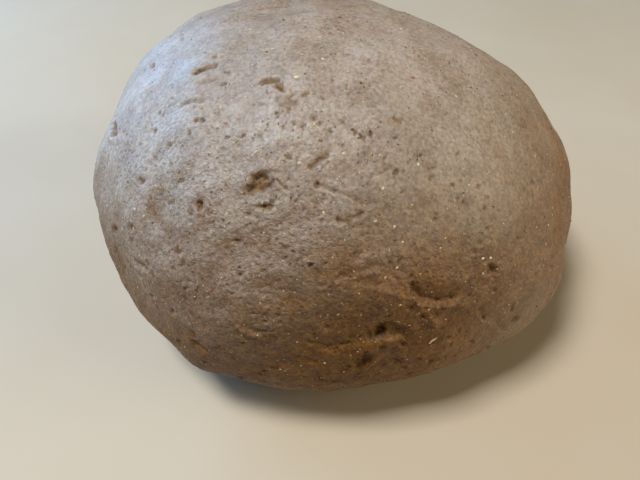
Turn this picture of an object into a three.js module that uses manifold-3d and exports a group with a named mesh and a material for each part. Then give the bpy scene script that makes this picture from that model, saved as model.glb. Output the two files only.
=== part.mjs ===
// A molasses bun as a ball of kneaded dough, before it is baked: one solid piece that rests on its own flat foot.
// Millimetres, +Z up. The foot lies on z = 0, and the Z axis runs through the middle of the ball's box.
// A place on the skin is given as [azimuth, rise] in degrees: azimuth 0 is +X and 90 is +Y, rise 0 is the
// widest level, 90 the crown, and footRise the edge of the foot.
import * as THREE from "three";
import { mergeVertices } from "three/addons/utils/BufferGeometryUtils.js";
import Module from "manifold-3d";

// ---- Driving dimensions, in millimetres and degrees ----

const ballWidth = 140; // mean width seen from above
const ballHeight = 84; // the ball has sunk under its own weight to 0.6 of its width
const widestLevel = 0.29 * ballHeight;
const crownLean = { x: -8.5, y: -5 }; // how far the crown sits off the middle of the foot
const footWidth = 0.66 * ballWidth; // the flat that it rests on
const footRise = -70;
const footSink = 0.05; // share of the lower half that would reach under the foot and is cut away
const tuckPower = 1.4; // how fast the side curls in under the widest level

// Slow waves that pull the round outline off true: the ball is longest from front right to back left.
const outlineWaves = [
  { lobes: 2, swell: 0.036, toward: -32 },
  { lobes: 3, swell: 0.04, toward: -1 },
  { lobes: 6, swell: 0.009, toward: 11 },
];

// Uneven swell left all over by kneading: wavelength and height of each size of lump.
const kneadingLumps = [
  { span: 41, height: 0.3 },
  { span: 19, height: 0.2 },
  { span: 8, height: 0.12 },
];
const wavesPerLump = 8;

// Places that the hands pressed in (out below 0) or pushed up (out above 0).
const handMarks = [
  { name: "back left swell", at: [168, 46], radius: 9, out: 1.2 },
  { name: "back crown swell", at: [150, 55], radius: 10, out: 0.4 },
  { name: "left shoulder dip", at: [-179, 36], radius: 8, out: -0.5 },
  { name: "left swell", at: [-160, 16], radius: 9, out: 1.4 },
  { name: "low left swell", at: [-148, 4], radius: 10, out: 1.1 },
  { name: "front left swell", at: [-131, -6], radius: 9, out: 0.9 },
  { name: "knob at the front left foot", at: [-119, -10], radius: 6, out: 1.3 },
  { name: "low front swell", at: [-95, -19], radius: 10, out: 1.1 },
  { name: "low front right swell", at: [-70, -19], radius: 9, out: 0.8 },
  { name: "low right swell", at: [-46, -11], radius: 8, out: 1.1 },
  { name: "swell under the right hollow", at: [-33, -3], radius: 8, out: 0.9 },
  { name: "right hollow", at: [-23, 4], radius: 8, out: -1.2 },
  { name: "right swell", at: [-8, 21], radius: 9, out: 1.4 },
  { name: "right shoulder", at: [6, 39], radius: 8, out: 0.6 },
  { name: "hollow over the shoulder", at: [10, 47], radius: 8, out: -1.3 },
  { name: "crown right swell", at: [18, 54], radius: 8, out: 0.4 },
  { name: "crown right flat", at: [40, 63], radius: 10, out: -0.4 },
  { name: "bulge over the tear", at: [-79.5, 23], radius: 3.2, out: 0.7 },
  { name: "lump under the fold", at: [-70, 13], radius: 2.6, out: 0.6 },
  { name: "broad dark dent", at: [-94, 24], radius: 3.6, out: -0.6 },
  { name: "shadow of the left fold", at: [-126, 31], radius: 6, out: -0.6 },
];

// Creases where the skin folds under itself. Each runs left to right along its route, sinks by depth over
// width, and piles up by lip on its lower side.
const creases = [
  {
    name: "main fold",
    route: [[-74, 24], [-72, 21], [-69.5, 19.5], [-67.5, 18], [-64.5, 17.5], [-60.5, 16]],
    depth: 1.5, width: 1.9, lip: 1,
  },
  { name: "upper crease", route: [[-86, 27.5], [-82, 28.5], [-78.5, 29]], depth: 0.9, width: 1.8, lip: 0.5 },
  { name: "lower crease", route: [[-82.5, 26.5], [-80, 25.5], [-77.5, 24]], depth: 0.6, width: 1.5, lip: 0.4 },
  { name: "upper left crack", route: [[-144.5, 61], [-141, 63.5], [-137, 66]], depth: 1, width: 1.6, lip: 0.3 },
  { name: "second left crack", route: [[-136, 59], [-129, 63]], depth: 0.7, width: 1.5, lip: 0.3 },
  { name: "left crease", route: [[-135, 54.5], [-131, 57], [-127.5, 59]], depth: 0.7, width: 1.5, lip: 0.3 },
  { name: "middle crease", route: [[-93, 49.5], [-89, 51.5], [-86, 53]], depth: 0.7, width: 1.5, lip: 0.3 },
  { name: "right crease", route: [[-55.5, 7], [-53, 1.5]], depth: 0.8, width: 1.6, lip: 0.4 },
  { name: "low left crack", route: [[-133, 19], [-128, 20.5]], depth: 0.8, width: 1.6, lip: 0.3 },
];

// Holes torn in the skin: full length and width, turned from level (left to right) toward upright.
const tears = [
  { name: "large tear", at: [-80, 14.5], length: 10, width: 4.8, turn: -12, depth: 2.8, lip: 0.7 },
  { name: "tear below it", at: [-84.5, 7], length: 4.6, width: 3.6, turn: 78, depth: 2, lip: 0.4 },
  { name: "middle tear", at: [-103, 45], length: 4.2, width: 3.8, turn: 30, depth: 1.7, lip: 0.3 },
  { name: "upper dent", at: [-105, 65], length: 6, width: 4.2, turn: 55, depth: 1.3, lip: 0.3 },
  { name: "left dent", at: [-159, 39], length: 7, width: 3, turn: 8, depth: 1.6, lip: 0.3 },
  { name: "upper left hole", at: [-140, 62], length: 3.6, width: 2.8, turn: 63, depth: 1.5, lip: 0.2 },
  { name: "right hole", at: [-56, 22], length: 3.6, width: 2.4, turn: -32, depth: 1.4, lip: 0.3 },
];

// The skin's facets: how fine they are, and how much smaller they get toward the torn front.
const facetDetail = 22;
const facetPull = 2;
const facetCentre = [-80, 18];
const settleGap = 0.4; // skin this near the foot's plane is laid on it, so that the cut leaves no slivers

// ---- The rounded form ----

const radians = THREE.MathUtils.degToRad;
const degrees = THREE.MathUtils.radToDeg;

// A direction from the ball's middle, as a unit vector.
function directionTo([azimuth, rise]) {
  const level = Math.cos(radians(rise));
  return new THREE.Vector3(
    level * Math.cos(radians(azimuth)),
    level * Math.sin(radians(azimuth)),
    Math.sin(radians(rise)),
  );
}

// How far the outline stands out at an azimuth, as a share of the mean radius.
function outlineShare(azimuth) {
  return outlineWaves.reduce(
    (share, { lobes, swell, toward }) => share + swell * Math.cos(lobes * radians(azimuth - toward)),
    1,
  );
}

// The section from crown to foot: a quarter ellipse above the widest level, a rounded tuck below it, then the
// foot. It gives the radius as a share of the widest radius, and the height.
function section(rise) {
  if (rise >= 0) {
    const turn = radians(rise);
    return { share: Math.cos(turn), height: widestLevel + (ballHeight - widestLevel) * Math.sin(turn) };
  }
  const footShare = footWidth / ballWidth;
  const turn = (Math.min(1, rise / footRise) * Math.PI) / 2;
  const height = widestLevel * (1 - (1 + footSink) * Math.sin(turn));
  if (rise < footRise) return { share: (footShare * (rise + 90)) / (footRise + 90), height };
  return { share: footShare + (1 - footShare) * Math.cos(turn) ** tuckPower, height };
}

// A point of the smooth form, before any relief.
function smoothPoint([azimuth, rise]) {
  const { share, height } = section(rise);
  const radius = (ballWidth / 2) * share * (1 + (outlineShare(azimuth) - 1) * share);
  return new THREE.Vector3(
    radius * Math.cos(radians(azimuth)) + (crownLean.x * height) / ballHeight,
    radius * Math.sin(radians(azimuth)) + (crownLean.y * height) / ballHeight,
    height,
  );
}

// The outward direction of the smooth form.
function smoothNormal([azimuth, rise]) {
  const step = 0.5;
  const across = smoothPoint([azimuth + step, rise]).sub(smoothPoint([azimuth - step, rise]));
  const upward = smoothPoint([azimuth, rise + step]).sub(smoothPoint([azimuth, rise - step]));
  return across.cross(upward).normalize();
}

// ---- Relief, in millimetres outward ----

const bell = (x) => Math.exp(-x * x);

// Waves of each size run in wavesPerLump directions, spread evenly by the golden angle.
const goldenAngle = 180 * (3 - Math.sqrt(5));
const kneadingWaves = kneadingLumps.flatMap(({ span, height }, size) =>
  Array.from({ length: wavesPerLump }, (_, i) => {
    const turn = goldenAngle * (i + wavesPerLump * size);
    const tilt = degrees(Math.asin((2 * i + 1) / wavesPerLump - 1));
    return {
      pull: directionTo([turn, tilt]).multiplyScalar((2 * Math.PI) / span),
      start: 2 * turn,
      height: height * Math.sqrt(2 / wavesPerLump),
    };
  }),
);

function kneadingRelief(point) {
  return kneadingWaves.reduce(
    (sum, { pull, start, height }) => sum + height * Math.sin(pull.dot(point) + start),
    0,
  );
}

function handRelief(point) {
  return handMarks.reduce((sum, mark) => {
    return sum + mark.out * bell(point.distanceTo(mark.place) / mark.radius);
  }, 0);
}

// The nearest place on a crease's route: how far off it is, and how far the point lies on the lower side.
function offRoute(point, { places, normal }) {
  const nearest = new THREE.Vector3();
  let best = { distance: Infinity, below: 0 };
  for (let i = 1; i < places.length; i++) {
    const line = new THREE.Line3(places[i - 1], places[i]);
    line.closestPointToPoint(point, true, nearest);
    const off = point.clone().sub(nearest);
    if (off.length() >= best.distance) continue;
    const downhill = line.delta(new THREE.Vector3()).cross(normal).normalize();
    best = { distance: off.length(), below: off.dot(downhill) };
  }
  return best;
}

function creaseRelief(point) {
  return creases.reduce((sum, crease) => {
    const { distance, below } = offRoute(point, crease);
    const lipOff = Math.hypot(distance - crease.width, below - crease.width);
    return sum - crease.depth * bell(distance / (crease.width / 2)) + crease.lip * bell(lipOff / crease.width);
  }, 0);
}

function tearRelief(point) {
  return tears.reduce((sum, tear) => {
    const off = point.clone().sub(tear.place);
    const reach = Math.hypot(
      off.dot(tear.along) / (tear.length / 2),
      off.dot(tear.across) / (tear.width / 2),
      off.dot(tear.normal) / tear.length,
    );
    const hollow = 1 - THREE.MathUtils.smoothstep(reach, 0.4, 1.2);
    return sum - tear.depth * hollow + tear.lip * bell((reach - 1.5) / 0.4);
  }, 0);
}

// Puts every mark where it lies on the smooth form.
function placeMarks() {
  for (const mark of handMarks) mark.place = smoothPoint(mark.at);
  for (const crease of creases) {
    crease.places = crease.route.map(smoothPoint);
    crease.normal = smoothNormal(crease.route[crease.route.length >> 1]);
  }
  for (const tear of tears) {
    const turn = radians(tear.turn);
    const level = new THREE.Vector3(-Math.sin(radians(tear.at[0])), Math.cos(radians(tear.at[0])), 0);
    tear.place = smoothPoint(tear.at);
    tear.normal = smoothNormal(tear.at);
    const upright = tear.normal.clone().cross(level);
    tear.along = level.clone().multiplyScalar(Math.cos(turn)).addScaledVector(upright, Math.sin(turn));
    tear.across = tear.normal.clone().cross(tear.along);
  }
}

// ---- The solid ----

// Draws a direction toward the torn front, which leaves the facets even and makes them finer there.
function pullToFront(direction) {
  const front = directionTo(facetCentre);
  const angle = front.angleTo(direction);
  const axis = front.clone().cross(direction);
  if (axis.lengthSq() < 1e-12) return direction;
  const pulled = 2 * Math.atan(Math.tan(angle / 2) / facetPull);
  return front.applyAxisAngle(axis.normalize(), pulled);
}

function doughSkin() {
  const ball = new THREE.IcosahedronGeometry(1, facetDetail);
  ball.deleteAttribute("normal");
  ball.deleteAttribute("uv");
  const skin = mergeVertices(ball, 1e-5);
  const places = skin.getAttribute("position");
  const point = new THREE.Vector3();
  for (let i = 0; i < places.count; i++) {
    const direction = pullToFront(point.fromBufferAttribute(places, i).normalize().clone());
    const azimuth = degrees(Math.atan2(direction.y, direction.x));
    const rise = degrees(Math.asin(THREE.MathUtils.clamp(direction.z, -1, 1)));
    const { x, y, z } = smoothPoint([azimuth, rise]);
    places.setXYZ(i, x, y, z);
  }
  skin.computeVertexNormals();
  const normals = skin.getAttribute("normal");
  const normal = new THREE.Vector3();
  for (let i = 0; i < places.count; i++) {
    point.fromBufferAttribute(places, i);
    normal.fromBufferAttribute(normals, i);
    const relief = kneadingRelief(point) + handRelief(point) + creaseRelief(point) + tearRelief(point);
    point.addScaledVector(normal, relief);
    places.setXYZ(i, point.x, point.y, Math.abs(point.z) < settleGap ? 0 : point.z);
  }
  skin.deleteAttribute("normal");
  return skin;
}

const wasm = await Module();
wasm.setup();

function toSolid(geometry) {
  const bare = geometry.clone();
  bare.deleteAttribute("normal");
  bare.deleteAttribute("uv");
  const merged = mergeVertices(bare, 1e-4);
  return new wasm.Manifold(
    new wasm.Mesh({
      numProp: 3,
      vertProperties: new Float32Array(merged.getAttribute("position").array),
      triVerts: new Uint32Array(merged.index.array),
    }),
  );
}

function toGeometry(solid) {
  const mesh = solid.getMesh();
  const geometry = new THREE.BufferGeometry();
  geometry.setAttribute("position", new THREE.BufferAttribute(new Float32Array(mesh.vertProperties), 3));
  geometry.setIndex(new THREE.BufferAttribute(new Uint32Array(mesh.triVerts), 1));
  return geometry;
}

// Everything under z = 0 comes off, which leaves one flat foot.
function cutFoot(skin) {
  const depth = ballHeight;
  const under = new THREE.BoxGeometry(2 * ballWidth, 2 * ballWidth, depth);
  under.translate(0, 0, -depth / 2);
  return toGeometry(toSolid(skin).subtract(toSolid(under)));
}

function doughBall() {
  placeMarks();
  const geometry = cutFoot(doughSkin());
  geometry.computeBoundingBox();
  const middle = geometry.boundingBox.getCenter(new THREE.Vector3());
  geometry.translate(-middle.x, -middle.y, 0);
  geometry.computeVertexNormals();
  const dough = new THREE.MeshStandardMaterial({ color: "#8b6b4f", roughness: 0.6, metalness: 0 });
  const mesh = new THREE.Mesh(geometry, dough);
  mesh.name = "dough_ball";
  return mesh;
}

const bun = new THREE.Group();
bun.add(doughBall());

export default bun;
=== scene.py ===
# A molasses bun as a ball of kneaded dough before it is baked: a finely modelled skin in place of the
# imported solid, with its folds, torn holes, pits and bran. It runs in Blender 4.5 and reads nothing but
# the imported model.
import math

import bpy
import numpy as np
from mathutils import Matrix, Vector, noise


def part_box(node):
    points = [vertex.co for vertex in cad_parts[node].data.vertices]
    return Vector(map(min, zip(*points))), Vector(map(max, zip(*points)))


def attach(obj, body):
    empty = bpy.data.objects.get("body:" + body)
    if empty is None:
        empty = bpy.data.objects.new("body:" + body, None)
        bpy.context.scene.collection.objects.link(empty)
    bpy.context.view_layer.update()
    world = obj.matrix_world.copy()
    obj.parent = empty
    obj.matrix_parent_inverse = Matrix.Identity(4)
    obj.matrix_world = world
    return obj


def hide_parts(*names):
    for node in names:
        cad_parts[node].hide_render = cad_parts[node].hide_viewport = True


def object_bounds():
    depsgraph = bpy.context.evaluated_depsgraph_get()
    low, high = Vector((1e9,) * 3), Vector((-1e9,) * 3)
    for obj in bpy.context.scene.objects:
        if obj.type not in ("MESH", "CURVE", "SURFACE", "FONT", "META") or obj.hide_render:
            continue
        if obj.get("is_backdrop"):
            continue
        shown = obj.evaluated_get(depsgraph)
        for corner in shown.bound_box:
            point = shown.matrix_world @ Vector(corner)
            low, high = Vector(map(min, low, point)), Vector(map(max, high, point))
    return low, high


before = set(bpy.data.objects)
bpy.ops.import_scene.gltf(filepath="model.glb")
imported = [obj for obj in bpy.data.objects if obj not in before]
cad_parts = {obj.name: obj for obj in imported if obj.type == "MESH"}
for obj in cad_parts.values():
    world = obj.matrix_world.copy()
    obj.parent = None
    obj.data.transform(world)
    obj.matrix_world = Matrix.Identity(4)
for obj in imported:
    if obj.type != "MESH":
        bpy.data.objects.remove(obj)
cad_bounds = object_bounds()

MM = 0.001  # metres in a millimetre
TINY = 1e-9  # stands in for a length of nothing where it divides
SEED = 11


# ---- The ball's form, in millimetres and degrees ----
# The smooth form and the hand marks are the solid's. The smallest lumps are lower, and the folds and holes
# are drawn in more detail.
# A place on the skin is (azimuth, rise): azimuth 0 is +X and 90 is +Y, rise 0 is the widest level and 90
# the crown.

BALL_WIDTH = 140
BALL_HEIGHT = 84
WIDEST_LEVEL = 0.29 * BALL_HEIGHT
CROWN_LEAN = (-8.5, -5)  # how far the crown sits off the middle of the foot
FOOT_WIDTH = 0.66 * BALL_WIDTH
FOOT_RISE = -70  # where the foot's edge lies
FOOT_SINK = 0.05  # share of the lower half that would reach under the foot and is laid flat
TUCK_POWER = 1.4  # how fast the side curls in under the widest level

OUTLINE_WAVES = [  # lobes, swell as a share of the radius, direction
    (2, 0.036, -32),
    (3, 0.04, -1),
    (6, 0.009, 11),
]

KNEADING_LUMPS = [(41, 0.3), (19, 0.2), (8, 0.07)]  # wavelength and height of each size of lump
WAVES_PER_LUMP = 8

HAND_MARKS = [  # name, place, radius, how far out
    ("back left swell", (168, 46), 9, 1.2),
    ("back crown swell", (150, 55), 10, 0.4),
    ("left shoulder dip", (-179, 36), 8, -0.5),
    ("left swell", (-160, 16), 9, 1.4),
    ("low left swell", (-148, 4), 10, 1.1),
    ("front left swell", (-131, -6), 9, 0.9),
    ("knob at the front left foot", (-119, -10), 6, 1.3),
    ("low front swell", (-95, -19), 10, 1.1),
    ("low front right swell", (-70, -19), 9, 0.8),
    ("low right swell", (-46, -11), 8, 1.1),
    ("swell under the right hollow", (-33, -3), 8, 0.9),
    ("right hollow", (-23, 4), 8, -1.2),
    ("right swell", (-8, 21), 9, 1.4),
    ("right shoulder", (6, 39), 8, 0.6),
    ("hollow over the shoulder", (10, 47), 8, -1.3),
    ("crown right swell", (18, 54), 8, 0.4),
    ("crown right flat", (40, 63), 10, -0.4),
    ("bulge over the tear", (-79.5, 23), 3.2, 0.7),
    ("lump under the fold", (-70, 13), 2.6, 0.6),
    ("broad dark dent", (-94, 24), 3.6, -0.6),
    ("shadow of the left fold", (-126, 31), 6, -0.6),
]

CREASES = [  # name, route from left to right, depth, width, lip on its lower side
    (
        "main fold",
        [(-73.2, 23.4), (-72.1, 20.4), (-71, 19.3), (-69.5, 18.6), (-67.7, 18), (-65.2, 17.4)],
        0.95, 1.25, 0.15,
    ),
    ("upper crease", [(-87, 27), (-84, 28), (-81.5, 28.5), (-79, 28.5)], 0.35, 1.1, 0.1),
    ("lower crease", [(-84.5, 26.5), (-82, 26), (-79, 25), (-77.5, 24)], 0.3, 1.1, 0.1),
    ("top crease", [(-83.5, 30.5), (-81.5, 31.5), (-78, 32.5), (-75, 32.5)], 0.15, 1.3, 0.1),
    ("upper left crack", [(-141.5, 62), (-139.5, 63), (-136, 65)], 0.95, 0.95, 0.1),
    ("second left crack", [(-135.5, 60.5), (-131, 62.5)], 0.5, 1.0, 0.1),
    ("left crease", [(-136, 54.5), (-133, 56), (-129, 57.5)], 0.5, 1.1, 0.2),
    ("middle crease", [(-90.5, 48.5), (-88.5, 50), (-86.5, 50.5)], 0.7, 1.1, 0.2),
    ("streak over the middle tear", [(-104.5, 46), (-102, 47), (-99, 47.5)], 0.5, 1.0, 0.1),
    ("hairline arc", [(-86, 43.5), (-82, 42.5), (-79.5, 40.5)], 0.4, 0.9, 0.1),
    ("middle wrinkle", [(-89.5, 45), (-86, 44)], 0.4, 1.0, 0.2),
    ("wrinkle under the arc", [(-85.5, 38), (-82.5, 38.5), (-80.5, 39)], 0.5, 1.0, 0.2),
    ("upper middle crease", [(-100, 60.5), (-97.5, 61), (-95, 61)], 0.4, 1.0, 0.1),
    ("right groove", [(-24, 42), (-22, 40.5), (-20.5, 39)], 0.4, 1.1, 0.2),
    ("right crease", [(-55.5, 6), (-53, 1.5)], 0.35, 1.5, 0.2),
    ("low right groove", [(-59, 12), (-58, 8)], 0.3, 1.2, 0.2),
    ("long right wrinkle", [(-70, 38.5), (-67.5, 38.5), (-65, 38.5)], 0.3, 1.0, 0.2),
    ("low left crack", [(-132.5, 18.5), (-128, 20)], 0.7, 1.3, 0.3),
    ("low left crease", [(-117, 5.5), (-114.5, 4.5)], 0.7, 1.3, 0.3),
    ("low left ridge", [(-105, 15.5), (-102, 14.5)], 0.3, 1.4, 0.5),
    ("low front slit", [(-95.5, 6), (-93, 5.5)], 0.4, 1.2, 0.2),
    ("slit left of the tear", [(-91.5, 10), (-89, 10.5), (-87, 10.5)], 0.5, 1.3, 0.2),
    ("left fold", [(-129.5, 32.5), (-126.5, 31), (-122.5, 30)], 0.4, 2.4, 0.1),
    ("crown crack", [(160, 79), (150, 80.5), (144, 84)], 0.5, 1.2, 0.1),
    ("small crown crack", [(-116, 83), (-104, 84)], 0.4, 1.1, 0.1),
]

TEARS = [  # name, place, length, width, turn from level toward upright, depth, lip
    ("large tear, left part", (-82.3, 13), 7, 4.4, 22, 1.0, 0.1),
    ("large tear, right part", (-78.4, 13.4), 9, 4.8, -28, 1.25, 0.1),
    ("tear below it", (-84.5, 5.2), 4.8, 3.4, 38, 1.1, 0.3),
    ("middle tear", (-103.4, 45.4), 5.5, 3.6, 32, 1.0, 0.2),
    ("second middle tear", (-101.3, 41.6), 4, 1.8, 12, 0.7, 0.1),
    ("upper dent, long side", (-107, 66), 5.5, 1.6, 25, 0.8, 0.1),
    ("upper dent, hooked end", (-101.9, 64.8), 4.0, 1.7, -58, 1.1, 0.2),
    ("left dent", (-160, 38), 7, 2.6, 8, 1.0, 0.3),
    ("upper left hole", (-141, 62.3), 2.6, 1.6, 50, 1.15, 0.1),
    ("left hole", (-116, 38.9), 2.9, 1.7, -75, 1.0, 0.1),
    ("right hole", (-55, 21.2), 3.6, 2.2, -26, 0.9, 0.2),
]

LOBES = [  # long swells and dents: name, place, length, width, turn, how far out
    ("lobe over the large tear", (-79.8, 21), 17, 8, -16, 0.9),
    ("overhang above the main fold", (-66.5, 22.5), 13, 5, -22, 0.4),
    ("hollow above the main fold", (-67, 19.4), 12, 3.4, -22, -0.5),
    ("ledge under the main fold", (-65, 15.8), 14, 2.4, -24, 0.45),
    ("ridge beside the main fold", (-72.9, 19), 8, 1.8, -50, 0.5),
    ("knob under the slot", (-69.6, 12.2), 2.8, 2.0, -30, 0.7),
    ("rim of the slot", (-70.6, 15), 2.4, 1.4, 85, 0.4),
    ("rim under the large tear", (-78.2, 10), 7, 2.2, 8, 0.5),
    ("rim of the tear below", (-83.2, 3.4), 3.4, 1.6, 35, 0.5),
    ("lump beside the tear below", (-89.2, 7.6), 7, 3.4, 5, 0.5),
    ("lump at the right foot", (-68, 4), 16, 6, -12, 0.5),
    ("lump right of the ledge", (-58, 14), 8, 4, -40, 0.4),
]

# Small pits listed by region: azimuth, rise, length, width, turn from level toward upright.
PITS = {
    "front": [
        (-87.5, 4, 1.8, 1.5, -15), (-78, 3, 4.0, 1.6, -20), (-73.3, 2.5, 2.2, 1.4, -45),
        (-96.5, 7, 1.3, 1.1, 70), (-82.5, 14.5, 1.4, 1.2, -40), (-90.5, 16, 1.2, 1.0, 5),
        (-92.5, 14.5, 1.7, 1.1, 5), (-93, -1, 1.7, 1.1, 85), (-80.5, 9, 2.6, 1.6, -40),
        (-76.4, 9, 2.6, 1.4, -55), (-83.7, 7, 1.8, 1.3, -75), (-80.3, 12.6, 3.4, 2.0, 30),
    ],
    "under the fold": [
        (-69.7, 14.8, 2.6, 1.1, 84), (-74, 18.5, 1.6, 1.2, -40), (-72, 15.8, 1.8, 1.2, -40),
        (-68.3, 18.1, 2.2, 1.3, -30), (-64, 7, 2.0, 1.0, -50), (-67, 7, 1.4, 1.0, -45),
        (-60.7, 1.2, 3.0, 1.4, -44), (-55, -12, 3.2, 1.1, -50), (-58.3, 8, 2.3, 1.3, -75),
    ],
    "right": [
        (-51.4, 7.5, 3.0, 1.2, -81), (-49.5, 2.5, 3.1, 1.4, -70), (-55.5, 15.5, 1.9, 1.0, -35),
        (-43.7, 13.7, 2.3, 1.0, -35), (-38.5, 11.5, 2.9, 1.1, -35), (-55, 19.3, 1.5, 1.1, -40),
        (-58.3, 26.5, 1.2, 1.0, -25), (-46, 24.5, 2.0, 1.0, -30), (-56.6, 36.4, 1.7, 1.1, 35),
        (-50.6, 35.6, 1.6, 1.0, -20), (-52.4, 34, 1.3, 1.0, -20), (-50.5, 46, 1.4, 1.1, 15),
        (-57.2, 40.5, 1.3, 1.0, -15), (-50.8, 38.6, 1.5, 1.0, -15), (-34, 32.5, 1.7, 1.0, 10),
        (-36.5, 30, 1.5, 1.0, 10),
    ],
    "crown front": [
        (-97, 62.7, 2.6, 1.1, 36), (-97.8, 60.2, 1.3, 1.1, 0), (-95.3, 57, 1.5, 1.2, 0),
        (-93, 56.3, 1.3, 1.1, 0), (-98.3, 56.4, 1.3, 1.1, 0), (-90, 58, 1.5, 1.3, 0),
        (-87.2, 56.8, 1.8, 1.2, 0), (-91.6, 63, 1.2, 1.1, -30), (-63.1, 55.6, 2.7, 1.2, -65),
        (-68.5, 58.8, 1.2, 1.0, 0), (-66.4, 63, 1.2, 1.0, 0), (-76, 64, 1.1, 1.0, 20),
        (-75.5, 62.3, 1.1, 1.0, 10), (-73.2, 54, 1.7, 1.3, 0), (-78, 54.2, 1.1, 1.0, 60),
        (-67, 52, 1.3, 1.0, 40), (-80.6, 57.3, 1.1, 1.0, 0), (-84.2, 55.4, 1.2, 1.0, 5),
        (-81.8, 52.2, 1.1, 1.0, 0), (-76, 53.4, 1.1, 1.0, 0),
    ],
    "upper left": [
        (-128.4, 65, 2.4, 1.0, 60), (-126, 62.8, 1.8, 1.1, 10), (-127.2, 53.6, 2.2, 1.4, 10),
        (-124.7, 54.2, 2.0, 1.3, 10), (-126.8, 51.2, 1.3, 1.1, -10), (-121, 56.6, 1.2, 1.0, -25),
        (-131.2, 47, 2.4, 1.2, 75), (-140.6, 47.4, 2.6, 1.2, 15), (-173, 50.7, 3.6, 1.6, 20),
        (-170.3, 54, 3.0, 1.6, 20), (-110, 54, 1.9, 1.0, 35), (-179, 62, 2.6, 1.3, 35),
        (-142, 67, 1.7, 1.2, 50), (-114, 52.5, 1.6, 1.0, 30), (-119, 50, 1.4, 1.0, 20),
    ],
    "left": [
        (-142.8, 20.7, 4.0, 2.0, 65), (-134.4, 26, 2.5, 1.6, 55), (-133.7, 23.2, 1.9, 1.2, 45),
        (-135, 37.3, 2.7, 1.3, 45), (-124, 36.8, 2.2, 1.1, 75), (-118.2, 36.6, 1.4, 1.1, 15),
        (-115.6, 36.8, 1.5, 1.1, 15), (-113.2, 38.2, 1.1, 1.0, 15), (-123.6, 41, 1.1, 1.0, 15),
        (-130, 16, 2.0, 1.1, 60), (-125.4, 20, 1.7, 1.1, 60), (-116.5, 23, 1.4, 1.1, 65),
        (-117.3, 20.5, 1.4, 1.1, 65), (-114.7, 21.6, 1.2, 1.0, 50), (-112.3, 21.8, 1.2, 1.0, 50),
        (-120.8, 12.5, 1.9, 1.1, 45), (-119, 28.3, 2.4, 1.2, 20), (-120.8, 24.2, 1.2, 1.0, 30),
        (-126.7, 13.2, 2.2, 1.0, 35), (-108.6, 32.2, 1.2, 1.0, 15),
    ],
    "middle": [
        (-105.2, 44.2, 1.4, 1.2, 20), (-100, 45.6, 1.3, 1.1, 0), (-101.6, 46.2, 1.6, 1.1, 20),
        (-97.6, 50, 1.2, 1.0, 5), (-90, 45, 1.8, 1.1, 0), (-96, 46.3, 1.1, 1.0, 0),
        (-98.3, 45.8, 1.1, 1.0, 5), (-95.6, 42.8, 1.1, 1.0, 5), (-92.8, 41, 1.1, 1.0, 0),
        (-71.3, 49, 1.1, 1.0, 0), (-70.4, 45.7, 1.4, 1.1, 45), (-66, 47.4, 1.1, 1.0, 0),
        (-62, 47.5, 1.1, 1.0, -10), (-61.6, 43.6, 1.4, 1.0, 30), (-86, 38.6, 1.9, 1.2, 0),
        (-83.8, 37.6, 1.7, 1.1, 0), (-64.2, 36.2, 1.2, 1.0, -15),
    ],
    "lower left": [
        (-105.8, 27.4, 1.8, 1.2, -5), (-106.7, 34, 2.0, 1.4, 20), (-97.4, 31.6, 1.1, 1.0, 5),
        (-92.2, 29.7, 1.2, 1.1, 5), (-89.6, 30, 1.2, 1.1, 0), (-90.5, 26, 1.1, 1.0, 0),
        (-98.8, 20.6, 1.2, 1.1, 25), (-121, 3, 2.6, 1.3, 55), (-106.3, 10.7, 1.4, 1.1, 65),
        (-101.3, 2.2, 1.9, 1.1, 25), (-103.4, 1.3, 2.2, 1.1, 25), (-109, -8, 2.6, 1.4, 50),
        (-101.2, 17.7, 1.2, 1.0, 20), (-83.5, 26.3, 1.1, 1.0, -70), (-76.6, 29.4, 1.3, 1.0, -15),
        (-74.5, 29, 1.1, 1.0, -15), (-73, 25.4, 1.3, 1.1, -25),
    ],
}
PIT_DEPTH = 0.42  # share of the pit's width
PIT_LIP = 0.05
PIT_PAINTED_SHADE = 0.7  # how much painted shade darkens a pit's floor, as a share of a tear's

# Small pits strewn over the whole skin, in mm.
STREWN_PITS = 420
STREWN_LENGTH = (0.9, 2.1)
STREWN_WIDTH = (0.8, 1.1)
STREWN_NARROWEST = 0.9
STREWN_DEPTH = (0.1, 0.35)
STREWN_LIP = 0.03
STREWN_LOWEST = 3  # above the foot
STREWN_DARK_DEPTH = 0.55  # a pit this deep would get as much painted shade as the next share of a tear
# how much painted shade a strewn pit gets
STREWN_PAINTED_SHADE = 0.8

# How coarse the skin is: 1 where it is pebbly, less where the hands have rubbed it smooth.
PLAIN_COARSENESS = 0.75
COARSE_PATCHES = [  # place, radius in mm, how much coarser
    ((-112, 36), 34, 0.45),
    ((-94, 48), 24, 0.35),
    ((-100, 18), 26, 0.3),
    ((-72, 15), 22, 0.3),
    ((-86, 2), 24, 0.35),
    ((-150, 25), 22, 0.25),
    ((-170, 60), 28, -0.5),
    ((-30, 52), 36, -0.4),
    ((20, 70), 36, -0.35),
    ((-90, 80), 26, -0.3),
    ((-45, -2), 24, -0.35),
    ((-8, 15), 26, -0.3),
]

# The way that the dough's skin is drawn, around each place.
STRETCHES = [  # place, direction in space
    ((-115, 38), (0.86, 0.30, 0.41)),
    ((-90, 50), (0.92, 0.25, 0.30)),
    ((-40, 50), (0.50, -0.55, -0.67)),
    ((-90, 8), (1.0, 0.0, 0.05)),
    ((-55, 12), (0.80, 0.45, 0.40)),
    ((90, 40), (0.80, 0.50, -0.30)),
]
STRETCH_REACH = 40  # mm
STRETCH_TRACE = 1e-6  # the least that each direction counts, so that every point has one

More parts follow.
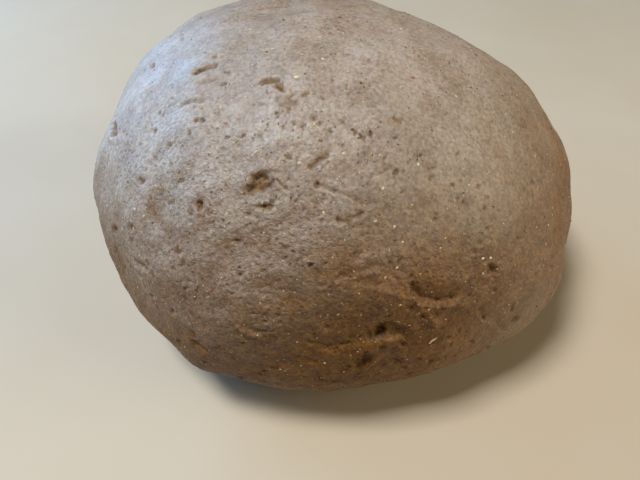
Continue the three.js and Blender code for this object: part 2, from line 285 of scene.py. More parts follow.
SKIN_GRAINS = [  # size in mm, how many times longer along the stretch, height in mm
    (9.0, 1.4, 0.13),
    (4.2, 1.5, 0.08),
    (2.2, 1.2, 0.07),
    (1.2, 1.0, 0.06),
]
PEBBLE_SIZE = 1.5  # mm
PEBBLE_STRETCH = 1.2
PEBBLE_HEIGHT = 0.08  # mm
PEBBLE_VALLEY = 0.45  # how far a pebble's side reaches in from its edge, as a share of its size
PEBBLE_MIDDLE = 0.6  # mean of the pebbles' pattern, taken off so that the skin keeps its size

CREASE_UPPER_SHARE = 0.7  # a crease's upper side slopes in over more of its width than its lower side
CREASE_LOWER_SHARE = 0.5
CREASE_LIP_SHARE = 0.6
HOLE_UPPER_SHARE = 0.75  # a hole's upper wall is steeper than its lower one
HOLE_LOWER_SHARE = 1.25
HOLE_WALL = (0.4, 1.2)  # where a hole's wall starts and ends, in half sizes of the hole
HOLE_RIM = 1.5  # where its piled rim lies, in the same measure, and how wide that is
HOLE_RIM_WIDTH = 0.4
SHAKES = [(3.5, 0.6), (1.7, 0.6), (0.9, 0.4)]  # size and reach in mm

CRUMB_SIZE = 1.3  # the torn crumb inside the tears, in mm
CRUMB_HEIGHT = 0.6

GRAIN_SHIFT = 17  # steps through the noise that keep its patterns apart
PAINTED_SHEEN_SHIFT = 90
CRUMB_SHIFT = 300

# A pale grey painted sheen lies where the skin faces up and to the left, toward the lights. It is
# patchy, and thin in the skin's valleys and holes, which is painted shade there.
PAINTED_SHEEN_SIDE = (-0.35, 0.0, 0.94)
PAINTED_SHEEN_TILT = (0.03, 0.86)  # cosine to the side where the painted sheen starts, and where it is whole
PAINTED_SHEEN_SPOTS = [  # name, place, radius in mm, how much more painted sheen
    ("more painted sheen low right", (-48, 1), 16, 0.4),
    ("less painted sheen low left", (-150, 12), 17, -0.3),
    ("less painted sheen at the back of the crown", (85, 72), 38, -0.45),
    ("more painted sheen in the middle", (-97, 45), 17, 0.22),
    ("less painted sheen under the middle", (-87, 31), 11, -0.25),
    ("less painted sheen left of that", (-119, 29), 13, -0.22),
    ("less painted sheen right of that", (-69, 29), 11, -0.2),
    ("more painted sheen low left", (-110, 14), 13, 0.16),
]
PAINTED_SHEEN_PATCHES = (4.5, 1.8, 0.25)  # size in mm, times longer along the stretch, share of painted sheen taken off
PAINTED_SHEEN_PATCH_EDGE = (-0.25, 0.4)  # value of the noise where a patch starts, and where it is whole
VALLEY_PAINTED_SHADE = 0.4  # share of the painted sheen that a valley lacks, as painted shade
VALLEY_PAINTED_SHADE_EDGE = (-0.2, 0.12)  # a valley's floor and its upper edge, in mm
HOLE_PAINTED_SHADE = 0.8  # share of the painted sheen that a hole lacks, as painted shade
GRAIN_HOLES = 0.6  # share of the fine relief that a hole lacks

# The skin's mesh: an icosahedron whose faces are cut GRID times a side and drawn together at the front.
GRID = 98
GRID_PULLS = [((-90, 45), 1.5), ((-80, 15), 1.25)]  # centre and pull


def direction_to(azimuth, rise):
    """Unit vectors for places given in degrees."""
    azimuth, rise = np.radians(azimuth), np.radians(rise)
    level = np.cos(rise)
    return np.stack([level * np.cos(azimuth), level * np.sin(azimuth), np.sin(rise)], axis=-1)


def smooth_points(azimuth, rise):
    """Points of the smooth form, in mm, before any relief."""
    azimuth, rise = np.asarray(azimuth, float), np.asarray(rise, float)
    up = np.radians(np.clip(rise, 0, 90))
    tuck = np.clip(rise / FOOT_RISE, 0, 1) * math.pi / 2
    foot_share = FOOT_WIDTH / BALL_WIDTH
    tucked = foot_share + (1 - foot_share) * np.cos(tuck) ** TUCK_POWER
    under_foot = foot_share * (rise + 90) / (FOOT_RISE + 90)
    share = np.where(rise >= 0, np.cos(up), np.where(rise < FOOT_RISE, under_foot, tucked))
    upper = WIDEST_LEVEL + (BALL_HEIGHT - WIDEST_LEVEL) * np.sin(up)
    lower = WIDEST_LEVEL * (1 - (1 + FOOT_SINK) * np.sin(tuck))
    height = np.where(rise >= 0, upper, lower)
    turn = np.radians(azimuth)
    outline = 1 + sum(
        swell * np.cos(lobes * (turn - math.radians(toward))) for lobes, swell, toward in OUTLINE_WAVES
    )
    radius = BALL_WIDTH / 2 * share * (1 + (outline - 1) * share)
    lean = height / BALL_HEIGHT
    across = radius * np.cos(turn) + CROWN_LEAN[0] * lean
    deep = radius * np.sin(turn) + CROWN_LEAN[1] * lean
    return np.stack([across, deep, height], axis=-1)


def smooth_normal(azimuth, rise):
    """The way out of the smooth form at a place, from a short step across it and one up it."""
    step = 0.5  # degrees
    across = smooth_points(azimuth + step, rise) - smooth_points(azimuth - step, rise)
    upward = smooth_points(azimuth, rise + step) - smooth_points(azimuth, rise - step)
    normal = np.cross(across, upward)
    return normal / np.linalg.norm(normal)


# ---- The skin's grid ----


def icosahedron():
    """The corners of three crossed golden rectangles, and the twenty triangles between them."""
    golden = (1 + math.sqrt(5)) / 2
    corners = [
        (-1, golden, 0), (1, golden, 0), (-1, -golden, 0), (1, -golden, 0),
        (0, -1, golden), (0, 1, golden), (0, -1, -golden), (0, 1, -golden),
        (golden, 0, -1), (golden, 0, 1), (-golden, 0, -1), (-golden, 0, 1),
    ]
    faces = [
        (0, 11, 5), (0, 5, 1), (0, 1, 7), (0, 7, 10), (0, 10, 11),
        (1, 5, 9), (5, 11, 4), (11, 10, 2), (10, 7, 6), (7, 1, 8),
        (3, 9, 4), (3, 4, 2), (3, 2, 6), (3, 6, 8), (3, 8, 9),
        (4, 9, 5), (2, 4, 11), (6, 2, 10), (8, 6, 7), (9, 8, 1),
    ]
    return np.array(corners, float), faces


def geodesic_grid(cuts):
    """Unit directions and triangles of an icosahedron whose faces are cut into cuts x cuts triangles."""
    same_place = 6  # decimals in which points that are merged agree
    corners, faces = icosahedron()
    steps = [(i, j) for i in range(cuts + 1) for j in range(cuts + 1 - i)]
    number = {step: k for k, step in enumerate(steps)}
    small = [(number[i, j], number[i + 1, j], number[i, j + 1]) for i, j in steps if i + j < cuts]
    small += [
        (number[i + 1, j], number[i + 1, j + 1], number[i, j + 1]) for i, j in steps if i + j < cuts - 1
    ]
    shares = np.array([(cuts - i - j, i, j) for i, j in steps]) / cuts
    points = np.concatenate([shares @ corners[list(face)] for face in faces])
    triangles = np.concatenate([np.array(small) + k * len(steps) for k in range(len(faces))])
    points /= np.linalg.norm(points, axis=1, keepdims=True)
    rounded = np.round(points, same_place)
    _, first, merged = np.unique(rounded, axis=0, return_index=True, return_inverse=True)
    return points[first], merged.ravel()[triangles]


def pull_to(directions, centre, pull):
    """Draws directions toward a centre, which makes the grid finer there and keeps its angles."""
    front = direction_to(*centre)
    along = directions @ front
    angle = np.arccos(np.clip(along, -1, 1))
    pulled = 2 * np.arctan(np.tan(angle / 2) / pull)
    sideways = directions - along[:, None] * front
    sideways /= np.maximum(np.linalg.norm(sideways, axis=1, keepdims=True), TINY)
    return np.cos(pulled)[:, None] * front + np.sin(pulled)[:, None] * sideways


def vertex_normals(points, triangles):
    """The way out at each point: the mean over the triangles round it, by area."""
    a, b, c = (points[triangles[:, k]] for k in range(3))
    faces = np.cross(b - a, c - a)
    normals = np.zeros_like(points)
    for k in range(3):
        np.add.at(normals, triangles[:, k], faces)
    return normals / np.linalg.norm(normals, axis=1, keepdims=True)


# ---- Relief, in mm outward ----


def bell(x):
    """1 at nothing, falling softly to nothing at about 2."""
    return np.exp(-x * x)


def smoothstep(x, low, high):
    """0 up to low and 1 from high on, with a soft rise between."""
    t = np.clip((x - low) / (high - low), 0, 1)
    return t * t * (3 - 2 * t)


def kneading(points):
    """Slow lumps: waves of each size that run in evenly spread directions."""
    golden_angle = 180 * (3 - math.sqrt(5))
    relief = np.zeros(len(points))
    for size, (span, height) in enumerate(KNEADING_LUMPS):
        for i in range(WAVES_PER_LUMP):
            turn = golden_angle * (i + WAVES_PER_LUMP * size)
            tilt = math.degrees(math.asin((2 * i + 1) / WAVES_PER_LUMP - 1))
            pull = direction_to(turn, tilt) * 2 * math.pi / span
            relief += height * math.sqrt(2 / WAVES_PER_LUMP) * np.sin(points @ pull + 2 * turn)
    return relief


def hand_marks(points):
    """The places that the hands pressed in or pushed up."""
    relief = np.zeros(len(points))
    for _, place, radius, out in HAND_MARKS:
        relief += out * bell(np.linalg.norm(points - smooth_points(*place), axis=1) / radius)
    return relief


def ragged(points):
    """The points shaken a little, so that the edges measured from them come out ragged."""
    shaken = points.copy()
    for size, reach in SHAKES:
        shaken += reach * np.array([noise.noise_vector(p) for p in (points / size).tolist()])
    return shaken


def crease(points, route, depth, width, lip):
    """The relief of one crease, and how deep in it each point lies, from 0 to 1. Its upper side slopes in
    slowly and its lower side is steep."""
    places = [smooth_points(*place) for place in route]
    normal = smooth_normal(*route[len(route) // 2])
    nearest = np.full(len(points), np.inf)
    below = np.zeros(len(points))
    for start, end in zip(places, places[1:]):
        line = end - start
        share = np.clip((points - start) @ line / (line @ line), 0, 1)
        off = points - (start + share[:, None] * line)
        distance = np.linalg.norm(off, axis=1)
        downhill = np.cross(line, normal)
        closer = distance < nearest
        nearest = np.where(closer, distance, nearest)
        below = np.where(closer, off @ (downhill / np.linalg.norm(downhill)), below)
    sunk = bell(nearest / np.where(below < 0, CREASE_UPPER_SHARE, CREASE_LOWER_SHARE) / width)
    piled = bell(np.hypot(nearest - width, below - width) / (CREASE_LIP_SHARE * width))
    return lip * piled - depth * sunk, sunk


def hole_frame(place, turn):
    """Where a hole lies, its long and short directions, and the way out of it."""
    azimuth, turn = math.radians(place[0]), math.radians(turn)
    level = np.array([-math.sin(azimuth), math.cos(azimuth), 0])
    normal = smooth_normal(*place)
    upright = np.cross(normal, level)
    along = level * math.cos(turn) + upright * math.sin(turn)
    return smooth_points(*place), along, np.cross(normal, along), normal


def hole(points, middle, along, across, normal, length, width, depth, lip):
    """The relief of one hole with a piled rim, and how deep in it each point lies, from 0 to 1."""
    off = points - middle
    side = off @ across / (width / 2)
    side /= np.where(side > 0, HOLE_UPPER_SHARE, HOLE_LOWER_SHARE)
    reach = np.sqrt((off @ along / (length / 2)) ** 2 + side**2 + (off @ normal / length) ** 2)
    sunk = 1 - smoothstep(reach, *HOLE_WALL)
    return lip * bell((reach - HOLE_RIM) / HOLE_RIM_WIDTH) - depth * sunk, sunk


def lobe(points, middle, along, across, normal, length, width):
    """How near each point is to a lobe's middle, from 0 to 1."""
    off = points - middle
    reach = np.hypot(off @ along / (length / 2), off @ across / (width / 2))
    return bell(reach + np.abs(off @ normal) / length)


def coarseness(points):
    """How coarse the skin is at each point."""
    amount = np.full(len(points), PLAIN_COARSENESS)
    for place, radius, coarser in COARSE_PATCHES:
        amount += coarser * bell(np.linalg.norm(points - smooth_points(*place), axis=1) / radius)
    return amount


def stretch_field(points):
    """The direction in which the skin is drawn at each point."""
    field = np.zeros_like(points)
    for place, direction in STRETCHES:
        weight = bell(np.linalg.norm(points - smooth_points(*place), axis=1) / STRETCH_REACH)
        field += (weight + STRETCH_TRACE)[:, None] * np.array(direction)
    return field / np.linalg.norm(field, axis=1, keepdims=True)


def drawn_out(points, field, size, stretch):
    """Coordinates for a pattern of a size in mm that is stretch times longer along the field."""
    along = np.sum(points * field, axis=1, keepdims=True)
    return (points - field * along * (1 - 1 / stretch)) / size


def grain(coordinates, shift):
    """Smooth noise between about -1 and 1."""
    return np.array([noise.noise(p) for p in (coordinates + shift).tolist()])


def pebbles(coordinates):
    """Rounded pebbles with narrow valleys between them, from 0 in a valley to 1 on top."""
    gaps = []
    for p in coordinates.tolist():
        near, _ = noise.voronoi(p)
        gaps.append(near[1] - near[0])
    return smoothstep(np.array(gaps), 0, PEBBLE_VALLEY)


# The next functions add to the relief, and to how deep each point lies in a hole or a crease, in place.


def add_creases(bent, relief, sunk):
    for _, route, depth, width, lip in CREASES:
        moved, inside = crease(bent, route, depth, width, lip)
        relief += moved
        # the deeper the crease, the more painted shade darkens it
        np.maximum(sunk, inside * min(1, depth), out=sunk)


def add_tears(torn, relief, crumb_and_shade):
    for _, place, length, width, turn, depth, lip in TEARS:
        moved, inside = hole(torn, *hole_frame(place, turn), length, width, depth, lip)
        relief += moved
        np.maximum(crumb_and_shade, inside, out=crumb_and_shade)


def add_lobes(bent, relief):
    for _, place, length, width, turn, out in LOBES:
        relief += out * lobe(bent, *hole_frame(place, turn), length, width)


def add_placed_pits(torn, relief, sunk):
    for region in PITS.values():
        for azimuth, rise, length, width, turn in region:
            depth = PIT_DEPTH * width
            moved, inside = hole(torn, *hole_frame((azimuth, rise), turn), length, width, depth, PIT_LIP)
            relief += moved
            np.maximum(sunk, PIT_PAINTED_SHADE * inside, out=sunk)


def add_strewn_pits(points, normals, torn, coarse, relief, sunk):
    """Seeded small pits, more of them where the skin is coarse."""
    random = np.random.default_rng(SEED)
    chance = coarse**2 * (points[:, 2] > STREWN_LOWEST)
    for k in random.choice(len(points), STREWN_PITS, replace=False, p=chance / chance.sum()):
        length = random.uniform(*STREWN_LENGTH)
        width = max(STREWN_NARROWEST, random.uniform(*STREWN_WIDTH))
        turn = random.uniform(0, math.pi)
        depth = random.uniform(*STREWN_DEPTH)
        near = np.flatnonzero(np.abs(points - points[k]).max(axis=1) < 2 * length)
        level = np.cross((0, 0, 1), normals[k])
        level /= np.linalg.norm(level)
        along = level * math.cos(turn) + np.cross(normals[k], level) * math.sin(turn)
        axes = (torn[k], along, np.cross(normals[k], along), normals[k])
        moved, inside = hole(torn[near], *axes, length, width, depth, STREWN_LIP)
        relief[near] += moved
        sunk[near] = np.maximum(sunk[near], inside * depth / STREWN_DARK_DEPTH * STREWN_PAINTED_SHADE)


def wrinkles_and_pebbles(points, field):
    """The skin's fine relief, as high as on the coarsest skin."""
    wrinkles = sum(
        height * grain(drawn_out(points, field, size, stretch), GRAIN_SHIFT * k)
        for k, (size, stretch, height) in enumerate(SKIN_GRAINS)
    )
    rounded = pebbles(drawn_out(points, field, PEBBLE_SIZE, PEBBLE_STRETCH))
    return wrinkles + PEBBLE_HEIGHT * (rounded - PEBBLE_MIDDLE)


def painted_sheen_amount(points, normals, field, fine, sunk, coarse):
    """How much pale painted sheen each point has, from 0 to 1, with painted shade in valleys and holes."""
    painted_sheen = smoothstep(normals @ np.array(PAINTED_SHEEN_SIDE), *PAINTED_SHEEN_TILT)
    for _, place, radius, more in PAINTED_SHEEN_SPOTS:
        painted_sheen += more * bell(np.linalg.norm(points - smooth_points(*place), axis=1) / radius)
    painted_sheen = np.clip(painted_sheen, 0, 1) * (1 - HOLE_PAINTED_SHADE * sunk)
    size, stretch, sheen_breakup = PAINTED_SHEEN_PATCHES
    patches = smoothstep(grain(drawn_out(points, field, size, stretch), PAINTED_SHEEN_SHIFT), *PAINTED_SHEEN_PATCH_EDGE)
    painted_sheen *= 1 - sheen_breakup * coarse * patches
    painted_sheen *= 1 - VALLEY_PAINTED_SHADE * (1 - smoothstep(fine, *VALLEY_PAINTED_SHADE_EDGE))
    return painted_sheen


def skin_relief(points, normals):
    """For each point of the smooth form: how far it moves out, how deep it lies in a hole or a crease,
    how much pale painted sheen it has, and how coarse it is."""
    noise.seed_set(SEED)  # the ragged edges are drawn from it
    torn = ragged(points)
    bent = (points + torn) / 2
    coarse = coarseness(points)
    field = stretch_field(points)
    relief = kneading(points) + hand_marks(points)
    sunk = np.zeros(len(points))
    crumb_and_shade = np.zeros(len(points))
    add_creases(bent, relief, sunk)
    add_tears(torn, relief, crumb_and_shade)
    add_lobes(bent, relief)
    add_placed_pits(torn, relief, sunk)
    add_strewn_pits(points, normals, torn, coarse, relief, sunk)
    sunk = np.maximum(sunk, crumb_and_shade)
    relief += CRUMB_HEIGHT * crumb_and_shade * grain(points / CRUMB_SIZE, CRUMB_SHIFT)
    fine = wrinkles_and_pebbles(points, field)
    painted_sheen = painted_sheen_amount(points, normals, field, fine, sunk, coarse)
    fine *= coarse * (1 - GRAIN_HOLES * sunk)
    return relief + fine, sunk, painted_sheen, coarse


def new_piece(name, corners, faces):
    """A meshed object in the scene, from corners in metres."""
    mesh = bpy.data.meshes.new(name)
    mesh.from_pydata(corners, [], faces)
    piece = bpy.data.objects.new(name, mesh)
    bpy.context.scene.collection.objects.link(piece)
    return piece


def dough_skin():
    """The ball's skin as one closed mesh, with its points in mm and its triangles. The attributes are
    hollow, how deep a point lies in a hole, which darkens its colour as painted shade; the painted
    sheen, how much pale painted sheen it has; and coarse, how pebbly it is."""
    directions, triangles = geodesic_grid(GRID)
    for centre, pull in GRID_PULLS:
        directions = pull_to(directions, centre, pull)
    azimuth = np.degrees(np.arctan2(directions[:, 1], directions[:, 0]))
    rise = np.degrees(np.arcsin(np.clip(directions[:, 2], -1, 1)))
    points = smooth_points(azimuth, rise)
    normals = vertex_normals(points, triangles)
    relief, sunk, painted_sheen, coarse = skin_relief(points, normals)
    points = points + normals * relief[:, None]
    points[:, 2] = np.maximum(points[:, 2], 0)  # the foot lies flat
    middle = (points.min(axis=0) + points.max(axis=0)) / 2
    low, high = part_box("dough_ball")
    solid_middle = np.array((low + high) / 2) / MM
    points[:, :2] += (solid_middle - middle)[:2]
    piece = new_piece("dough_skin", (points * MM).tolist(), triangles.tolist())
    for name, amount in (("hollow", sunk), ("painted_sheen", painted_sheen), ("coarse", coarse)):
        attribute = piece.data.attributes.new(name, "FLOAT", "POINT")
        attribute.data.foreach_set("value", amount.astype(np.float32))
    piece.data.shade_smooth()
    return piece, points, triangles


# ---- Bran ----

BRAN_RING = 6  # corners round a flake
BRAN_UNEVEN_TURN = 0.25  # how far a corner may lie from its even place round the flake, in radians
BRAN_UNEVEN_REACH = (0.8, 1.1)  # how far out it lies, as a share
BRAN_TILT = 0.25  # how far a strewn flake leans from the skin, as a spread
BRAN_LIFT = 0.02  # how far its middle lies off the skin, in mm
BRAN_LOWEST = 1.5  # mm above the foot
LONG_FLAKE = ((-70.2, 8), 2.7, 0.8, 30)  # place, length, width and turn
LARGE_FLAKES = [  # azimuth, rise, length
    (-56.7, 24.7, 1.0), (-54.8, 23.9, 0.9), (-57.7, 21, 0.9), (-74.3, 43.4, 0.9), (-78, 37.6, 0.8),
    (-74.4, 36.1, 0.9), (-63.5, 46.6, 0.8), (-82, 51, 1.1), (-97, 67, 1.2), (-95, 73.3, 0.9),
    (-83.7, 71.8, 1.0), (-75.8, 28.3, 0.9), (-131.5, 30.8, 0.9), (-134.4, 31, 0.9), (-122.4, 58, 1.0),
    (-94.3, 49.7, 1.0), (-106.2, 51.4, 0.9), (-102.3, 42, 1.0), (-89, 40.3, 0.8), (-76.2, 20, 0.7),
    (-91.6, 5.5, 0.8), (-78, 26.4, 0.8), (-12, 72, 1.0), (-55, 73.5, 0.8), (-36.8, 55.7, 0.9),
    (-80.8, 78.7, 0.9), (-72.2, 68, 0.8),
]
LARGE_FLAKE_NARROW = 0.75  # width as a share of length
LARGE_FLAKE_THICK = 0.24
LARGE_FLAKE_LIFT = 0.08
LARGE_FLAKE_SEED = 5
# Strewn flakes: lengths in mm, widths as a share of the length, thickness in mm.
PALE_BRAN = {"count": 2600, "length": (0.25, 0.55), "narrow": (0.5, 0.9), "thick": 0.16, "seed": 3}
DARK_BRAN = {"count": 2200, "length": (0.35, 0.9), "narrow": (0.35, 0.8), "thick": 0.12, "seed": 4}
RUSSET_BRAN = {"count": 260, "length": (0.6, 1.5), "narrow": (0.3, 0.6), "thick": 0.12, "seed": 6}


def flake(place, normal, along, length, width, thick, random):
    """One flake: a flat, uneven hexagon with a low top and bottom, half sunk in the skin."""
    across = np.cross(normal, along)
    turns = np.arange(BRAN_RING) * 2 * math.pi / BRAN_RING
    turns = turns + random.uniform(-BRAN_UNEVEN_TURN, BRAN_UNEVEN_TURN, BRAN_RING)
    reach = random.uniform(*BRAN_UNEVEN_REACH, BRAN_RING)
    ring = [
        place + along * math.cos(t) * r * length / 2 + across * math.sin(t) * r * width / 2
        for t, r in zip(turns, reach)
    ]
    corners = [*ring, place + normal * thick / 2, place - normal * thick / 2]
    top, bottom = BRAN_RING, BRAN_RING + 1
    faces = []
    for k in range(BRAN_RING):
        after = (k + 1) % BRAN_RING
        faces += [(k, after, top), (after, k, bottom)]
    return corners, faces


def strewn_flakes(points, triangles, count, length, narrow, thick, seed):
    """Seeded flakes on the skin, spread by area."""
    random = np.random.default_rng(seed)
    a, b, c = (points[triangles[:, k]] for k in range(3))
    normals = np.cross(b - a, c - a)
    areas = np.linalg.norm(normals, axis=1)
    normals /= np.maximum(areas, TINY)[:, None]
    chance = areas * (a[:, 2] > BRAN_LOWEST)
    for k in random.choice(len(triangles), count, replace=False, p=chance / chance.sum()):
        tilted = normals[k] + random.normal(0, BRAN_TILT, 3)
        tilted /= np.linalg.norm(tilted)
        along = np.cross(tilted, random.normal(0, 1, 3))
        along /= np.linalg.norm(along)
        long = random.uniform(*length)
        middle = (a[k] + b[k] + c[k]) / 3 + normals[k] * BRAN_LIFT
        yield flake(middle, tilted, along, long, long * random.uniform(*narrow), thick, random)


def placed_flakes(points, normals):
    """The long flake and the large ones, each laid on the skin at its place."""
    random = np.random.default_rng(LARGE_FLAKE_SEED)
    placed = [LONG_FLAKE]
    for azimuth, rise, length in LARGE_FLAKES:
        placed.append(((azimuth, rise), length, LARGE_FLAKE_NARROW * length, random.uniform(0, 180)))
    for place, length, width, turn in placed:
        middle, along, _, _ = hole_frame(place, turn)
        nearest = np.argmin(np.linalg.norm(points - middle, axis=1))
        normal = normals[nearest]
        along = along - normal * (along @ normal)
        along /= np.linalg.norm(along)
        lifted = points[nearest] + normal * LARGE_FLAKE_LIFT
        yield flake(lifted, normal, along, length, width, LARGE_FLAKE_THICK, random)


def bran_piece(name, flakes):
    """All the flakes of one kind as one piece."""
    corners, faces = [], []
    for flake_corners, flake_faces in flakes:
        first = len(corners)
        corners += flake_corners
        faces += [tuple(first + k for k in face) for face in flake_faces]
    return new_piece(name, (np.array(corners) * MM).tolist(), faces)


# ---- Materials ----
# On a colour Mix, input 0 is the share, 6 and 7 are the two colours, and output 2 is the mixed colour.


def colour(code):
    """A linear colour with alpha from an sRGB hex code."""
    shares = [int(code[k : k + 2], 16) / 255 for k in (1, 3, 5)]
    return tuple(s / 12.92 if s <= 0.04045 else ((s + 0.055) / 1.055) ** 2.4 for s in shares) + (1.0,)


def add(material, kind, inputs, **settings):
    """Adds one node with its settings. Each input gets a value, a hex colour or another node's output."""
    node = material.node_tree.nodes.new(kind)
    for key, value in settings.items():
        setattr(node, key, value)
    for key, value in inputs.items():
        if isinstance(value, bpy.types.NodeSocket):
            material.node_tree.links.new(value, node.inputs[key])
        else:
            node.inputs[key].default_value = colour(value) if isinstance(value, str) else value
    return node.outputs


def new_material(name):
    """An empty material, and the place on the piece in millimetres for its patterns."""
    material = bpy.data.materials.new(name)
    material.use_nodes = True
    material.node_tree.nodes.clear()
    place = add(material, "ShaderNodeTexCoord", {})["Object"]
    millimetres = add(material, "ShaderNodeVectorMath", {0: place, "Scale": 1 / MM}, operation="SCALE")[0]
    return material, millimetres


def kneaded_dough():
    """Raw molasses dough, kneaded smooth by damp hands: deep brown, with a pale grey painted sheen
    where it faces up and to the left, toward the lights, and a satin sheen that tiny wrinkles break up."""
    material, place = new_material("kneaded_molasses_dough")
    hollow = add(material, "ShaderNodeAttribute", {}, attribute_name="hollow")["Fac"]
    painted_sheen = add(material, "ShaderNodeAttribute", {}, attribute_name="painted_sheen")["Fac"]
    coarse = add(material, "ShaderNodeAttribute", {}, attribute_name="coarse")["Fac"]

    # Uneven colour: clouds left by kneading, crumbs and grit.
    cloud_size, crumb_size, grit_size = 16, 2.4, 0.8  # mm
    clouds = add(material, "ShaderNodeTexNoise", {"Vector": place, "Scale": 1 / cloud_size})["Fac"]
    crumbs = add(
        material, "ShaderNodeTexNoise", {"Vector": place, "Scale": 1 / crumb_size, "Detail": 4.0}
    )["Fac"]
    grit = add(
        material, "ShaderNodeTexNoise", {"Vector": place, "Scale": 1 / grit_size, "Detail": 3.0}
    )["Fac"]
    clouds = add(material, "ShaderNodeMapRange", {"Value": clouds, "From Min": 0.35, "From Max": 0.65})[0]
    crumbs = add(material, "ShaderNodeMapRange", {"Value": crumbs, "From Min": 0.3, "From Max": 0.7})[0]
    grit = add(material, "ShaderNodeMapRange", {"Value": grit, "From Min": 0.3, "From Max": 0.7})[0]

    # The moist dough, darker between its crumbs and grit.
    moist = add(material, "ShaderNodeMix", {0: clouds, 6: "#7b561e", 7: "#855e24"}, data_type="RGBA")[2]
    for fleck, dark in ((crumbs, "#c3b49c"), (grit, "#b9a88c")):
        shade = add(material, "ShaderNodeMix", {0: fleck, 6: dark, 7: "#ffffff"}, data_type="RGBA")[2]
        moist = add(
            material, "ShaderNodeMix", {0: 1.0, 6: moist, 7: shade},
            data_type="RGBA", blend_type="MULTIPLY",
        )[2]

    # A pale grey painted sheen over what faces the lights, a little thinner between the crumbs.
    dry = add(material, "ShaderNodeMix", {0: clouds, 6: "#a69c8f", 7: "#ada399"}, data_type="RGBA")[2]
    shade = add(material, "ShaderNodeMix", {0: grit, 6: "#e2ddd3", 7: "#ffffff"}, data_type="RGBA")[2]
    dry = add(
        material, "ShaderNodeMix", {0: 1.0, 6: dry, 7: shade}, data_type="RGBA", blend_type="MULTIPLY"
    )[2]
    sheen_breakup = add(material, "ShaderNodeMath", {0: crumbs, 1: grit}, operation="ADD")[0]
    sheen_breakup = add(
        material, "ShaderNodeMapRange", {"Value": sheen_breakup, "From Min": 0.45, "From Max": 1.2, "To Min": 0.82}
    )[0]
    painted_sheen_cover = add(material, "ShaderNodeMath", {0: painted_sheen, 1: sheen_breakup}, operation="MULTIPLY")[0]
    body = add(material, "ShaderNodeMix", {0: painted_sheen_cover, 6: moist, 7: dry}, data_type="RGBA")[2]

    # Darker brown in the holes, pits and creases, as painted shade, with ochre bran in the torn crumb.
    ochre_size = 1.6  # mm
    ochre = add(material, "ShaderNodeTexNoise", {"Vector": place, "Scale": 1 / ochre_size})["Fac"]
    ochre = add(material, "ShaderNodeMapRange", {"Value": ochre, "From Min": 0.5, "From Max": 0.62})[0]
    crumb_and_shade = add(material, "ShaderNodeMix", {0: ochre, 6: "#644827", 7: "#8c6c3c"}, data_type="RGBA")[2]
    inside = add(
        material, "ShaderNodeMapRange",
        {"Value": hollow, "From Min": 0.15, "From Max": 1.0, "To Max": 0.62},
    )[0]
    body = add(material, "ShaderNodeMix", {0: inside, 6: body, 7: crumb_and_shade}, data_type="RGBA")[2]

    # Pores about 0.5 mm wide, darkened as painted shade, more marked where the skin is coarse.
    pore_gap = 2.0  # mm from pore to pore
    pores = add(material, "ShaderNodeTexVoronoi", {"Vector": place, "Scale": 1 / pore_gap})["Distance"]
    pores = add(material, "ShaderNodeMapRange", {"Value": pores, "From Min": 0.05, "From Max": 0.22})[0]
    shade = add(material, "ShaderNodeMix", {0: pores, 6: "#cdbfaa", 7: "#ffffff"}, data_type="RGBA")[2]
    body = add(
        material, "ShaderNodeMix", {0: coarse, 6: body, 7: shade}, data_type="RGBA", blend_type="MULTIPLY"
    )[2]

    # A satin sheen, damp and smooth in patches, duller in the holes.
    damp_size = 6  # mm
    damp = add(
        material, "ShaderNodeTexNoise", {"Vector": place, "Scale": 1 / damp_size, "Detail": 3.0}
    )["Fac"]
    damp = add(
        material, "ShaderNodeMapRange",
        {"Value": damp, "From Min": 0.3, "From Max": 0.7, "To Min": 0.42, "To Max": 0.55},
    )[0]
    duller = 0.25
    rough = add(material, "ShaderNodeMath", {0: inside, 1: duller, 2: damp}, operation="MULTIPLY_ADD")[0]

    # Wrinkles, grains and pores as bumps, each as high as its distance, lower where the skin is rubbed.
    wrinkle_size, grain_size = 1.0, 0.45  # mm
    wrinkles = add(material, "ShaderNodeTexNoise", {"Vector": place, "Scale": 1 / wrinkle_size})["Fac"]
    grains = add(material, "ShaderNodeTexNoise", {"Vector": place, "Scale": 1 / grain_size})["Fac"]
    bumped = add(
        material, "ShaderNodeBump", {"Height": wrinkles, "Strength": coarse, "Distance": 0.24 * MM}
    )[0]
    bumped = add(
        material, "ShaderNodeBump",
        {"Height": grains, "Normal": bumped, "Strength": coarse, "Distance": 0.16 * MM},
    )[0]
    bumped = add(
        material, "ShaderNodeBump",
        {"Height": pores, "Normal": bumped, "Strength": coarse, "Distance": 0.12 * MM},
    )[0]

    # Light goes a millimetre or so into damp dough, red the farthest. The IOR is that of wet starch.
    shader = add(
        material, "ShaderNodeBsdfPrincipled",
        {"Base Color": body, "Roughness": rough, "Normal": bumped, "IOR": 1.38, "Subsurface Weight": 0.5,
         "Subsurface Radius": (1.0, 0.6, 0.35), "Subsurface Scale": 1.2 * MM},
    )
    add(material, "ShaderNodeOutputMaterial", {"Surface": shader[0]})
    return material


def bran(name, pale, deep):
    """Bran, the milled skin of the grain: hard dry flakes that glint a little, uneven in colour from
    flake to flake."""
    material, place = new_material(name)
    tone_size = 1.5  # mm
    tone = add(material, "ShaderNodeTexNoise", {"Vector": place, "Scale": 1 / tone_size})["Fac"]
    tone = add(material, "ShaderNodeMapRange", {"Value": tone, "From Min": 0.35, "From Max": 0.65})[0]
    body = add(material, "ShaderNodeMix", {0: tone, 6: pale, 7: deep}, data_type="RGBA")[2]
    shader = add(material, "ShaderNodeBsdfPrincipled", {"Base Color": body, "Roughness": 0.3, "IOR": 1.5})
    add(material, "ShaderNodeOutputMaterial", {"Surface": shader[0]})
    return material


